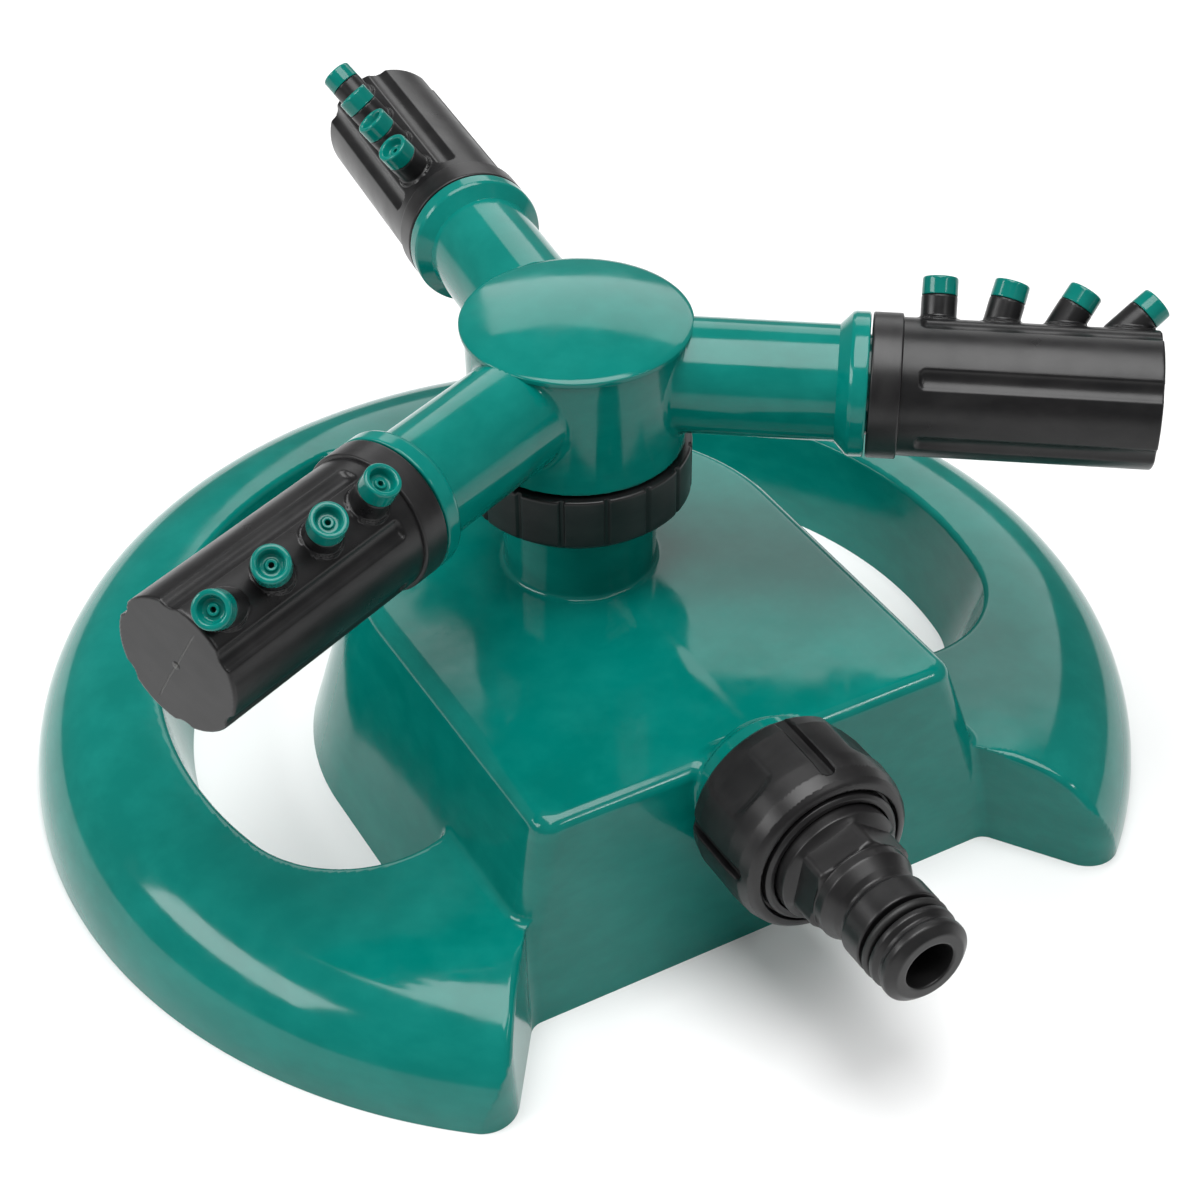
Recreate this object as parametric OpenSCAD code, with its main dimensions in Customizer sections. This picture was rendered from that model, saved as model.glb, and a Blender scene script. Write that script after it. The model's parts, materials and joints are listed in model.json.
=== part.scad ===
// Three-arm rotary lawn sprinkler on a flat ring base.
// Millimetres, Z up. The ground is z = 0. The rotor turns about the vertical line
// x = 0, y = rotor_y, and the hose inlet points along -Y.

/* [Base] */
// Outer radius of the ring where it meets the ground
ring_r = 113.9; // [108:0.1:120]
// Radius of the ridge along the ring's inner side
ridge_r = 86.8; // [84:0.1:90]
// Radius of the ring's inner wall at the ground
inner_r = 82; // [78:0.5:86]
// Height of the ring's crest
ring_h = 21.8; // [18:0.1:28]
// Wall thickness of the base moulding
wall = 2.5; // [1.8:0.1:3.5]
// Height of the middle body's flat top
body_h = 42; // [38:0.5:48]
// Half width of the body's top and radius of its rounded back
body_r = 44.5; // [40:0.5:47]
// Distance from the rotor's axis to the front wall at the top
front_d = 66.7; // [62:0.1:70]
// Distance the ring's outer rim is set forward of the rotor's axis
ring_fwd = 1; // [0:0.1:2]
// Angle of each ring end from the forward direction
gap_half = 34.9; // [30:0.1:40]
// Width of the bridge that joins the body to the ring at the back
bridge_w = 32; // [20:1:48]

/* [Riser and bearing] */
// Radius of the upright spout that carries the rotor
riser_r = 15.3; // [14.5:0.1:16.5]
// Height of the spout's top
riser_top = 57.4; // [55:0.1:58]
// Radius of the spindle's journal
journal_r = 7; // [6:0.1:7.5]
// Radius of the spindle's collar
collar_r = 14; // [12:0.1:14.5]

/* [Rotor] */
// Radius of the hub below its cap
hub_r = 21.3; // [20:0.1:22]
// Radius of the cap's crisp rim
cap_r = 22.2; // [21:0.1:23]
// Height of the cap's rim
cap_z = 97.4; // [94:0.1:99]
// Height of the dome above the rim
dome_h = 2.6; // [1:0.1:4]
// Height of the arms' axis
arm_z = 86.3; // [84:0.1:88]
// Direction of the first arm, counter-clockwise from +X
arm_a = 204.27; // [0:0.01:360]
// Radius of an arm tube
arm_r = 11.1; // [10:0.1:12]
// Radius of the flange at an arm's end
flange_r = 13.7; // [13:0.1:14.5]
// Radius of the ribbed retaining nut
nut_r = 22.2; // [21:0.1:23]
// Number of ribs on the retaining nut
nut_ribs = 16; // [8:1:24]

/* [Nozzle heads] */
// Distance from the rotor's axis to a head's inner end
head_in = 55.4; // [54:0.1:57]
// Distance from the rotor's axis to a head's closed end
head_out = 108.5; // [105:0.1:112]
// Radius of a head's fluted barrel
head_r = 13; // [12.4:0.1:13.6]
// Radius of a head's collar
head_collar_r = 13.7; // [13.4:0.1:14.6]
// Turn of the first head's nozzle row about its arm, from straight up
row_turn_a = 31; // [0:1:60]
// Turn of the second head's nozzle row
row_turn_b = 40; // [0:1:60]
// Turn of the third head's nozzle row
row_turn_c = 36; // [0:1:60]
// Distance from the rotor's axis to the first nozzle's foot
row_start = 67.5; // [66:0.1:70]
// Spacing of the nozzle feet
row_step = 11.7; // [10:0.1:12]
// Radius of a nozzle stub and of its coloured tip
stub_r = 3.4; // [2.8:0.1:3.8]

/* [Hose inlet] */
// Height of the inlet's axis
inlet_z = 35.3; // [33:0.1:37]
// Distance from the rotor's axis to the nipple's open end
nipple_reach = 122.5; // [118:0.5:126]
// Radius of the nipple's nose
nipple_r = 8.6; // [8:0.1:9]
// Bore radius of the nipple
nipple_bore = 4.8; // [4:0.1:5]
// Radius of the union nut
union_r = 17.7; // [17:0.1:18.5]

/* [Hidden] */
$fn = 96;

green = [0.0, 0.5, 0.42];
black = [0.13, 0.13, 0.14];
rubber = [0.06, 0.06, 0.06];
white = [0.85, 0.85, 0.82];

rotor_y = (nipple_reach + ring_fwd - ring_r) / 2;
row_turns = [row_turn_a, row_turn_b, row_turn_c];
gap = 0.3;
run_fit = 0.08;
side_draft = 0.2976;
front_draft = 0.145;
edge_r = 3.6;
ridge_slope = (ridge_r - inner_r) / ring_h;
crown_r = ridge_r + 1.6;
nose_x = 58.8;
nose_y = -11.5;
nose_r = 21.9;
nose_grow = 0.078;
nose_lean = 15.1;
nose_splay = 3.9;
end_r = 7;
end_lean = 3;
steps = 6;

// ---- base outline ---------------------------------------------------------

// Points round the top corner of a drafted wall, from the flat top to the wall.
function corner(h, w, d, r) = [for (i = [0:steps]) let (a = 90 - i * (90 - atan(d)) / steps)
    [w + r * d - r / cos(atan(d)) + r * cos(a), h - r + r * sin(a)]];

// Half section of the body: h is its top, w its half width there, z0 its foot.
function half_body(h, w, d, r, z0) =
    concat([[0, z0], [0, h]], corner(h, w, d, r), [[w + (h - z0) * d, z0]]);

// Width at the top of a wall moved in by e on a top moved down by e.
function inset(w, d, e) = w + e * d - e / cos(atan(d));

// Height of the ring's crest at the fraction u of its width.
function crest(u) = sqrt(max(0, 1 - pow(u, 2.7)));

// Outline of the ring's dome from its ridge to the ground, moved in by e.
function dome(e, n) = [for (i = [0:n]) let (u = 1 - pow(1 - i / n, 2))
    [crown_r + (ring_r - e - crown_r) * u, (ring_h - e) * crest(u)]];

module mirrored_x(points) {
    polygon(concat(points, [for (i = [len(points) - 1:-1:0]) [-points[i][0], points[i][1]]]));
}

// The middle body, moved in by e, standing at z0.
module body_block(e, z0) {
    h = body_h - e;
    w = inset(body_r, side_draft, e);
    f = inset(front_d, front_draft, e);
    r = edge_r - e;
    side = half_body(h, w, side_draft, r, z0);
    front = half_body(h, f, front_draft, r, z0);
    intersection() {
        rotate([90, 0, 0])
            linear_extrude(height = 90)
                mirrored_x([for (p = side) if (p[0] > 0) p]);
        rotate([90, 0, -90])
            translate([0, 0, -80])
                linear_extrude(height = 160)
                    polygon(concat([[-5, z0], [-5, h]], [for (p = front) if (p[0] > 0) p]));
    }
    rotate_extrude(angle = 180)
        polygon(side);
}

// Half-space ahead of one ring end, moved into the ring by e.
module end_cut(e) {
    rotate([0, 0, gap_half - 90]) rotate([-end_lean, 0, 0])
        translate([-10, e - 200, -40])
            cube([240, 200, 120]);
}

// What is cut away at the front between the ring's two ends.
module front_gap(e) {
    intersection() {
        end_cut(e);
        mirror([1, 0, 0]) end_cut(e);
    }
}

// What rounds the outer corner of one ring end.
module end_corner(e) {
    u = ring_fwd * cos(gap_half) + sqrt(pow(ring_r - end_r, 2) - pow(end_r + ring_fwd * sin(gap_half), 2));
    rotate([0, 0, gap_half - 90])
        difference() {
            translate([u, -6, -2]) cube([24, 6 + end_r, 60]);
            translate([u, end_r, -4]) cylinder(r = end_r - e, h = 64);
        }
}

// The two crescent openings, made wider by e. The ring's inner wall leans outward.
module openings(e) {
    z1 = ring_h + 8;
    difference() {
        intersection() {
            translate([0, 0, -2])
                cylinder(h = z1 + 2, r1 = inner_r - 2 * ridge_slope + e, r2 = inner_r + z1 * ridge_slope + e);
            union() {
                translate([0, nose_y, 0]) rotate([nose_lean, 0, 0])
                    translate([-160, 0, -80]) cube([320, 200, 160]);
                for (s = [-1, 1])
                    translate([s * nose_x, nose_y, 0]) rotate([nose_lean, s * nose_splay, 0])
                        translate([0, 0, -12])
                            cylinder(h = 54, r1 = nose_r - 12 * nose_grow + e, r2 = nose_r + 42 * nose_grow + e);
            }
        }
        translate([e - bridge_w / 2, 0, -6]) cube([bridge_w - 2 * e, 160, 80]);
    }
}

// The ring with its top plate, moved in by e.
module ring_block(e, z0) {
    difference() {
        translate([0, -ring_fwd, 0])
            rotate_extrude($fn = 180)
                polygon(concat([[0, z0], [0, ring_h - e]], dome(e, 14), z0 < 0 ? [[ring_r - e, z0]] : []));
        openings(e);
        front_gap(e);
        end_corner(e);
        mirror([1, 0, 0]) end_corner(e);
    }
}

// ---- base ----------------------------------------------------------------

boss_r = 12.4;
boss_back = 63.8;
pipe_r = 6.3;
pipe_bore = 4.4;
riser_bore = 8;
foot_r = 1.2;
stub_thread_r = 13.2;
stub_end = 86;
spindle_foot = 46;

module inlet_axis(y) {
    translate([0, -y, inlet_z]) rotate([90, 0, 0]) children();
}

module base_shell() {
    color(green)
    translate([0, rotor_y, 0])
    difference() {
        union() {
            difference() {
                union() {
                    ring_block(0, 0);
                    body_block(0, 0);
                }
                ring_block(wall, -1);
                body_block(wall, -1);
            }
            // upright spout with its foot fillet, and the water pipe below it
            rotate_extrude()
                polygon(concat([[0, body_h - 1.5], [riser_r + foot_r, body_h - 1.5]],
                    [for (i = [0:steps]) let (a = 90 * i / steps)
                        [riser_r + foot_r * (1 - sin(a)), body_h + foot_r * (1 - cos(a))]],
                    [[riser_r, riser_top - 0.8], [riser_r - 0.8, riser_top], [0, riser_top]]));
            translate([0, 0, inlet_z - pipe_r - 1]) cylinder(r = 11, h = body_h - inlet_z + pipe_r - 0.5);
            inlet_axis(0) cylinder(r = pipe_r, h = front_d);
            // rounded boss behind the inlet, and the threaded stub
            inlet_axis(boss_back)
                rotate_extrude()
                    polygon(concat([[0, 0]], [for (i = [0:steps]) let (a = 90 * i / steps)
                        [boss_r - 2 + 2 * sin(a), 2 - 2 * cos(a)]], [[boss_r, 7], [0, 7]]));
            inlet_axis(front_d) cylinder(r = stub_thread_r, h = stub_end - front_d);
        }
        translate([0, 0, inlet_z - pipe_bore]) cylinder(r = pipe_bore, h = 30);
        translate([0, 0, spindle_foot]) cylinder(r = riser_bore, h = 30);
        inlet_axis(0) cylinder(r = pipe_bore, h = 100);
        inlet_axis(70) cylinder(r = nipple_r, h = 30);
    }
}

// ---- spindle and bearing --------------------------------------------------

spindle_top = 79;
collar_z = 62.6;
collar_h = 3;
hub_floor = 66.9;
washer_h = 0.9;
nut_z = 58;
nut_h = 12.6;
nut_floor = 3.2;
skirt_r = 18.4;
skirt_in = 15;
seal_z = 73.5;
seal_s = 0.9;

module spindle() {
    color(black)
    translate([0, rotor_y, 0])
    difference() {
        union() {
            translate([0, 0, spindle_foot]) cylinder(r = riser_bore, h = riser_top - spindle_foot + 0.1);
            translate([0, 0, riser_top]) cylinder(r = 9, h = collar_z - riser_top);
            translate([0, 0, collar_z]) cylinder(r = collar_r, h = collar_h);
            translate([0, 0, collar_z]) cylinder(r = journal_r, h = spindle_top - collar_z);
        }
        translate([0, 0, spindle_foot - 1]) cylinder(r = pipe_bore - 0.5, h = 60);
        translate([0, 0, seal_z])
            rotate_extrude() translate([journal_r + run_fit / 2 - 2 * seal_s, -1]) square([3, 2]);
    }
}

module ring_seal(r, s) {
    rotate_extrude() translate([r, 0]) circle(r = s, $fn = 32);
}

module spindle_oring() {
    color(rubber)
    translate([0, rotor_y, seal_z])
        ring_seal(journal_r + run_fit / 2 - seal_s + 0.02, seal_s - 0.02);
}

module washer(ri, ro, z) {
    translate([0, rotor_y, z])
        difference() {
            cylinder(r = ro, h = washer_h);
            translate([0, 0, -1]) cylinder(r = ri, h = 4);
        }
}

module lower_washer() {
    color(white) washer(9.4, 14.4, nut_z + nut_floor);
}

module upper_washer() {
    color(white) washer(journal_r + 0.3, collar_r, hub_floor - washer_h);
}

// ---- rotor ----------------------------------------------------------------

module retaining_nut() {
    color(black)
    translate([0, rotor_y, nut_z])
    difference() {
        rotate_extrude()
            polygon([[0, 0], [nut_r - 2.6, 0], [nut_r, 2.2], [nut_r, nut_h - 0.5],
                [nut_r - 0.5, nut_h], [0, nut_h]]);
        translate([0, 0, -1]) cylinder(r = 9.4, h = 20);
        translate([0, 0, nut_floor]) cylinder(r = skirt_r + 0.15, h = 20);
        for (i = [0:nut_ribs - 1])
            rotate([0, 0, (i + 0.35) * 360 / nut_ribs])
                translate([nut_r - 0.7, -0.5, -1]) cube([2, 1, 20]);
    }
}

// One arm lies along local +X from the rotor's axis.
module along_arm(k) {
    translate([0, rotor_y, arm_z]) rotate([0, 0, arm_a + 120 * k]) children();
}

arm_bore = 6.5;
spigot_r = 9.5;
spigot_end = 75;
lip_r = 9.9;
lip_s = 72.5;
groove_s = 61.5;
groove_r = 7.7;
ring_s = 0.9;
cavity_r = 10.4;

module arm_solid() {
    rotate([0, 90, 0])
        rotate_extrude()
            polygon(concat([[0, 0], [arm_r, 0], [arm_r, 49.6], [flange_r - 0.2, 51.6],
                [flange_r, 52.2], [flange_r, 55], [spigot_r, 55],
                [spigot_r, groove_s - 1], [groove_r, groove_s - 1], [groove_r, groove_s + 1],
                [spigot_r, groove_s + 1], [spigot_r, lip_s], [lip_r, lip_s],
                [lip_r, lip_s + 1], [spigot_r - 0.3, spigot_end], [0, spigot_end]]));
}

module rotor_hub() {
    color(green)
    difference() {
        union() {
            translate([0, rotor_y, 0])
                rotate_extrude()
                    polygon(concat([[0, hub_floor], [skirt_in, hub_floor], [skirt_in, 62.4], [skirt_r, 62.4],
                        [skirt_r, nut_z + nut_h + 0.6], [hub_r - 0.4, nut_z + nut_h + 0.6],
                        [hub_r, cap_z - 1.6], [cap_r, cap_z - 1.1], [cap_r, cap_z - 0.3], [cap_r - 0.3, cap_z]],
                        [for (i = [1:steps]) let (x = (cap_r - 0.3) * (1 - i / steps))
                            [x, cap_z + dome_h * (1 - pow(x / cap_r, 2))]]));
            for (k = [0:2])
                along_arm(k) arm_solid();
        }
        translate([0, rotor_y, hub_floor - 6]) cylinder(r = skirt_in, h = 6);
        translate([0, rotor_y, hub_floor - 1]) cylinder(r = journal_r + run_fit, h = 20);
        translate([0, rotor_y, spindle_top + 0.4]) cylinder(r = 15, h = arm_z + arm_bore - spindle_top - 0.4);
        for (k = [0:2])
            along_arm(k) rotate([0, 90, 0]) cylinder(r = arm_bore, h = 80);
    }
}

// ---- nozzle heads ---------------------------------------------------------

collar_end = 61;
flute_n = 6;
flute_start = 64.2;
flute_d = 0.8;
flute_cut = 3.2;
tilts = [0, 13, 29, 45];
stub_lens = [4.4, 4.3, 4.2, 4];
tip_len = 3.5;
stub_bore = 1.9;
pin_r = 0.5;

// Frame of nozzle i on head k: local +Z leaves the barrel's surface.
module at_nozzle(k, i) {
    translate([row_start + row_step * i, 0, 0])
        rotate([-row_turns[k], 0, 0])
            translate([0, 0, head_r])
                rotate([0, tilts[i], 0])
                    children();
}

module head_solid(k) {
    difference() {
        union() {
            rotate([0, 90, 0])
                rotate_extrude()
                    polygon([[0, head_in], [head_collar_r - 0.5, head_in], [head_collar_r, head_in + 0.5],
                        [head_collar_r, collar_end - 0.7], [head_collar_r - 0.5, collar_end],
                        [head_r, collar_end + 0.4], [head_r, head_out - 0.8], [head_r - 0.8, head_out],
                        [0, head_out]]);
            for (i = [0:3])
                at_nozzle(k, i)
                    translate([0, 0, -2.4]) cylinder(r = stub_r, h = stub_lens[i] + 2.4);
            for (i = [0:3])
                translate([row_start + row_step * i, 0, 0])
                    rotate([-row_turns[k], 0, 0])
                        translate([0, 0, head_r - 1.4])
                            cylinder(r1 = stub_r + 0.8, r2 = stub_r + 0.3, h = 1.7);
        }
        for (i = [0:3])
            at_nozzle(k, i) translate([0, 0, -5]) cylinder(r = stub_bore, h = 20);
        for (i = [0:flute_n - 1])
            rotate([i * 360 / flute_n + 30 - row_turns[k], 0, 0])
                translate([flute_start, 0, head_r - flute_d + flute_cut])
                    rotate([0, 90, 0]) cylinder(r = flute_cut, h = 60);
        rotate([0, 90, 0])
            rotate_extrude()
                polygon([[0, head_in - 1], [spigot_r + run_fit, head_in - 1], [spigot_r + run_fit, lip_s - 0.3],
                    [cavity_r, lip_s - 0.3], [cavity_r, head_out - 3.4], [cavity_r - 1, head_out - 2.4],
                    [0, head_out - 2.4]]);
    }
}

module nozzle_head(k) {
    color(black) along_arm(k) head_solid(k);
}

module head_oring(k) {
    color(rubber)
    along_arm(k) translate([groove_s, 0, 0]) rotate([0, 90, 0])
        ring_seal(spigot_r + run_fit / 2 - ring_s, ring_s);
}

module nozzle_tip(k, i) {
    color(green)
    along_arm(k) at_nozzle(k, i - 1) translate([0, 0, stub_lens[i - 1]])
        difference() {
            union() {
                cylinder(r = stub_r, h = tip_len - 0.4);
                translate([0, 0, tip_len - 0.4]) cylinder(r1 = stub_r, r2 = stub_r - 0.4, h = 0.4);
                translate([0, 0, -3.4]) cylinder(r = stub_bore, h = 4);
            }
            translate([0, 0, -4]) cylinder(r = pin_r, h = 12);
            translate([0, 0, tip_len - 1.5]) cylinder(r1 = pin_r, r2 = stub_r - 1.1, h = 1.51);
        }
}

// ---- hose inlet -----------------------------------------------------------

union_in = 71.6;
union_out = 92;
lip_groove = 14.4;
flange_in = 86.9;
washer_in = 86.05;
hex_in = 95.7;
hex_out = 101.2;
hex_turn = 81;
slot_turn = 87;
union_slots = 4;

module inlet_union_nut() {
    color(black)
    translate([0, rotor_y, 0])
    inlet_axis(0)
    difference() {
        rotate_extrude()
            polygon([[0, union_in], [union_r - 1.7, union_in], [union_r - 0.6, union_in + 1.4], [union_r, union_in + 4],
                [union_r, 85], [union_r - 0.3, 88.6], [union_r - 1, 90.8], [union_r - 1.8, union_out - 0.3],
                [union_r - 2.3, union_out], [lip_groove, union_out], [lip_groove, union_out - 0.7],
                [lip_groove - 0.4, union_out - 0.7], [lip_groove - 0.4, union_out + 0.2], [13.2, union_out + 0.8],
                [0, union_out + 0.8]]);
        translate([0, 0, union_in - 1]) cylinder(r = stub_thread_r + gap, h = 90.4 - union_in + 1);
        translate([0, 0, 80]) cylinder(r = 12.2, h = 30);
        for (i = [0:union_slots - 1])
            rotate([0, 0, slot_turn + i * 360 / union_slots]) {
                translate([union_r - 1.5, -1.4, union_in - 1]) cube([6, 2.8, 17.2]);
                translate([union_r - 1.5, 0, union_in + 16.2])
                    rotate([0, 90, 0]) cylinder(r = 1.4, h = 6);
                rotate([0, 0, 45])
                    translate([union_r + 17.2, 0, union_in - 1]) cylinder(r = 18.4, h = 14);
            }
    }
}

module inlet_nipple() {
    color(black)
    translate([0, rotor_y, 0])
    inlet_axis(0)
    difference() {
        union() {
            rotate_extrude()
                polygon([[0, flange_in], [13.2, flange_in], [13.2, 90.1], [11.9, 90.1], [11.9, 94.8], [11.2, hex_in],
                    [0, hex_in]]);
            rotate([0, 0, hex_turn]) translate([0, 0, hex_in - 1])
                cylinder(r = 10.9, h = hex_out - hex_in + 1, $fn = 6);
            rotate_extrude()
                polygon([[0, hex_out - 1], [9.6, hex_out - 1], [9.7, 103.4], [9.3, 104.8], [8.3, 105.6], [7.6, 106.3],
                    [7.4, 107.2], [7.7, 107.9], [8.5, 108.3], [8.9, 108.9], [8.9, 113.4], [8.6, 113.8],
                    [7.2, 113.8], [7.2, 116.6], [8.6, 116.6], [8.8, 117], [8.7, 117.8], [7.9, 118.6], [7.9, 119.2],
                    [nipple_r, 119.9], [nipple_r, 121], [nipple_r - 0.9, 122.1], [nipple_r - 2, nipple_reach],
                    [0, nipple_reach]]);
        }
        translate([0, 0, 80]) cylinder(r = nipple_bore, h = 60);
    }
}

module inlet_washer() {
    color(rubber)
    translate([0, rotor_y, 0])
    inlet_axis(washer_in)
        difference() {
            cylinder(r = 13, h = flange_in - washer_in - 0.05);
            translate([0, 0, -1]) cylinder(r = 8.6, h = 4);
        }
}

module nipple_oring() {
    color(rubber)
    translate([0, rotor_y, 0])
    inlet_axis(115.2) ring_seal(8.08, 0.85);
}

base_shell();
spindle();
spindle_oring();
lower_washer();
upper_washer();
retaining_nut();
rotor_hub();
nozzle_head(0);  // nozzle_head_a
nozzle_head(1);  // nozzle_head_b
nozzle_head(2);  // nozzle_head_c
head_oring(0);  // head_oring_a
head_oring(1);  // head_oring_b
head_oring(2);  // head_oring_c
nozzle_tip(0, 1);  // nozzle_tip_a1
nozzle_tip(0, 2);  // nozzle_tip_a2
nozzle_tip(0, 3);  // nozzle_tip_a3
nozzle_tip(0, 4);  // nozzle_tip_a4
nozzle_tip(1, 1);  // nozzle_tip_b1
nozzle_tip(1, 2);  // nozzle_tip_b2
nozzle_tip(1, 3);  // nozzle_tip_b3
nozzle_tip(1, 4);  // nozzle_tip_b4
nozzle_tip(2, 1);  // nozzle_tip_c1
nozzle_tip(2, 2);  // nozzle_tip_c2
nozzle_tip(2, 3);  // nozzle_tip_c3
nozzle_tip(2, 4);  // nozzle_tip_c4
inlet_union_nut();
inlet_nipple();
inlet_washer();
nipple_oring();
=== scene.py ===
import json
import math

import bmesh
import bpy
import numpy as np
from mathutils import Matrix, Vector


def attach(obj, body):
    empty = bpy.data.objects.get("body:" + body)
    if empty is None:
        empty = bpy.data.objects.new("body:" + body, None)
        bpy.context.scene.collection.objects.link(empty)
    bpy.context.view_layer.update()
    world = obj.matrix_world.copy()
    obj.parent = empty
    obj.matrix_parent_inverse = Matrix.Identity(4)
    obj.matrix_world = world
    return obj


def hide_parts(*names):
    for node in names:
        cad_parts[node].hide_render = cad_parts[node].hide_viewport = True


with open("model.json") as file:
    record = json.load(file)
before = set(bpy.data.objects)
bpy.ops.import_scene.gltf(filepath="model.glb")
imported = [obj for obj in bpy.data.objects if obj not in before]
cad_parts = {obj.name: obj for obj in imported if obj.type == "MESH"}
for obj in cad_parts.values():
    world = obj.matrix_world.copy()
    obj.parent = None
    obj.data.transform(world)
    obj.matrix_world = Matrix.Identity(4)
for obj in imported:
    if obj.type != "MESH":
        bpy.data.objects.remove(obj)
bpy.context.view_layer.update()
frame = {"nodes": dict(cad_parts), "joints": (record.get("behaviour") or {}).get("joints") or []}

# A rotary lawn sprinkler. Shapes are worked out in millimetres with the rotor's axis at
# x = 0, y = 0 and the hose inlet towards -Y, then placed in the CAD frame in metres.

MM = 0.001
AXIS_Y = next(j for j in frame["joints"] if j["name"] == "rotor_spin")["pos_m"][1]
COARSER = 1.0


# ---- signed distances --------------------------------------------------------------

def both(a, b, r):
    """Where a and b overlap, with the edge between them rounded to the radius r."""
    return np.minimum(-r, np.maximum(a, b)) + np.hypot(np.maximum(a + r, 0), np.maximum(b + r, 0))


def either(a, b, r):
    """Where a or b is, with the corner between them filled to the radius r."""
    return np.maximum(r, np.minimum(a, b)) - np.hypot(np.maximum(r - a, 0), np.maximum(r - b, 0))


def step(x, lo, hi):
    """A smooth rise from 0 at lo to 1 at hi."""
    t = np.clip((x - lo) / (hi - lo), 0, 1)
    return t * t * (3 - 2 * t)


def slope(p, f, e=0.02):
    """The gradient of f at the points p, by differences over e either way."""
    g = np.empty_like(p)
    for k in range(3):
        d = np.zeros(3)
        d[k] = e
        g[:, k] = (f(p + d) - f(p - d)) / (2 * e)
    return g


LEAST_SLOPE = 0.2       # the least squared gradient divided by, so that no point flies off at a crease
CHUNK = 400000          # the most points worked out at a time


def settle(p, f, rounds):
    """Moves points onto the surface f = 0."""
    for _ in range(rounds):
        g = slope(p, f)
        p = p - g * (f(p) / np.maximum((g * g).sum(1), LEAST_SLOPE))[:, None]
    return p


def evaluate(f, p):
    out = np.empty(len(p))
    for i in range(0, len(p), CHUNK):
        out[i:i + CHUNK] = f(p[i:i + CHUNK])
    return out


def surface(f, lo, hi, h, relax=4):
    """The surface f = 0 in a box, as evenly spread quads about h wide: (vertices, faces).

    Coarse blocks of cells are tried first, and only those near the surface are filled in.
    Each cell that the surface crosses gets one vertex, each crossed grid edge one quad.
    """
    lo, hi = np.array(lo, float), np.array(hi, float)
    block, reach, ease = 4, 1.25, 0.6
    n = np.ceil((hi - lo) / (block * h)).astype(int)
    grid = np.stack(np.meshgrid(*[lo[k] + block * h * np.arange(n[k] + 1) for k in range(3)],
                                indexing="ij"), -1)
    coarse = evaluate(f, grid.reshape(-1, 3)).reshape(grid.shape[:3])
    near = np.full(tuple(n), np.inf)
    for i in (0, 1):
        for j in (0, 1):
            for k in (0, 1):
                near = np.minimum(near, np.abs(coarse[i:i + n[0], j:j + n[1], k:k + n[2]]))
    near = near < block * h * reach
    fine = coarse
    for k in range(3):
        fine = np.repeat(fine, block, axis=k)
    fine = np.ascontiguousarray(fine[:n[0] * block + 1, :n[1] * block + 1, :n[2] * block + 1])
    mark = np.zeros(fine.shape, bool)
    for i, j, k in np.argwhere(near):
        mark[i * block:i * block + block + 1, j * block:j * block + block + 1,
             k * block:k * block + block + 1] = True
    at = np.argwhere(mark)
    fine[mark] = evaluate(f, lo + at * h)
    fine[fine == 0] = 1e-6
    inside = fine < 0
    m = np.array(fine.shape) - 1
    count = np.zeros(tuple(m), np.uint8)
    corners = [(i, j, k) for i in (0, 1) for j in (0, 1) for k in (0, 1)]
    for i, j, k in corners:
        count += inside[i:i + m[0], j:j + m[1], k:k + m[2]]
    cells = np.argwhere((count > 0) & (count < 8))
    number = np.full(tuple(m), -1, np.int64)
    number[tuple(cells.T)] = np.arange(len(cells))
    value = np.stack([fine[tuple((cells + c).T)] for c in corners], 1)
    total, hits = np.zeros((len(cells), 3)), np.zeros(len(cells))
    for a, ca in enumerate(corners):
        for b, cb in enumerate(corners):
            if b > a and sum(abs(np.subtract(ca, cb))) == 1:
                va, vb = value[:, a], value[:, b]
                cross = (va < 0) != (vb < 0)
                t = np.where(cross, va / np.where(cross, va - vb, 1), 0)
                p = np.array(ca) + t[:, None] * np.subtract(cb, ca)
                total += p * cross[:, None]
                hits += cross
    verts = lo + (cells + total / hits[:, None]) * h
    quads = []
    for axis in range(3):
        u, v = [k for k in range(3) if k != axis]
        first = [slice(1, m[k]) for k in range(3)]
        last = list(first)
        first[axis], last[axis] = slice(0, m[axis]), slice(1, m[axis] + 1)
        a, b = inside[tuple(first)], inside[tuple(last)]
        edges = np.argwhere(a != b)
        flip = a[tuple(edges.T)]
        base = edges + 1
        base[:, axis] -= 1
        du, dv = np.eye(3, dtype=int)[u], np.eye(3, dtype=int)[v]
        ring = [number[tuple(q.T)] for q in (base - du - dv, base - dv, base, base - du)]
        quad = np.stack(ring, 1)
        if axis == 1:
            flip = ~flip
        quad[~flip] = quad[~flip][:, ::-1]
        quads.append(quad)
    faces = np.concatenate(quads)
    verts = settle(verts, f, 2)
    pairs = np.concatenate([faces[:, [0, 1]], faces[:, [1, 2]], faces[:, [2, 3]], faces[:, [3, 0]]])
    degree = np.bincount(pairs.ravel(), minlength=len(verts))
    for _ in range(relax):
        mean = np.empty_like(verts)
        for k in range(3):
            mean[:, k] = (np.bincount(pairs[:, 0], verts[pairs[:, 1], k], len(verts))
                          + np.bincount(pairs[:, 1], verts[pairs[:, 0], k], len(verts))) / degree
        g = slope(verts, f)
        g /= np.linalg.norm(g, axis=1)[:, None]
        move = (mean - verts) * ease
        verts += move - g * (move * g).sum(1)[:, None]
        verts = settle(verts, f, 1)
    return settle(verts, f, 2), faces


# ---- turned pieces -----------------------------------------------------------------

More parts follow.
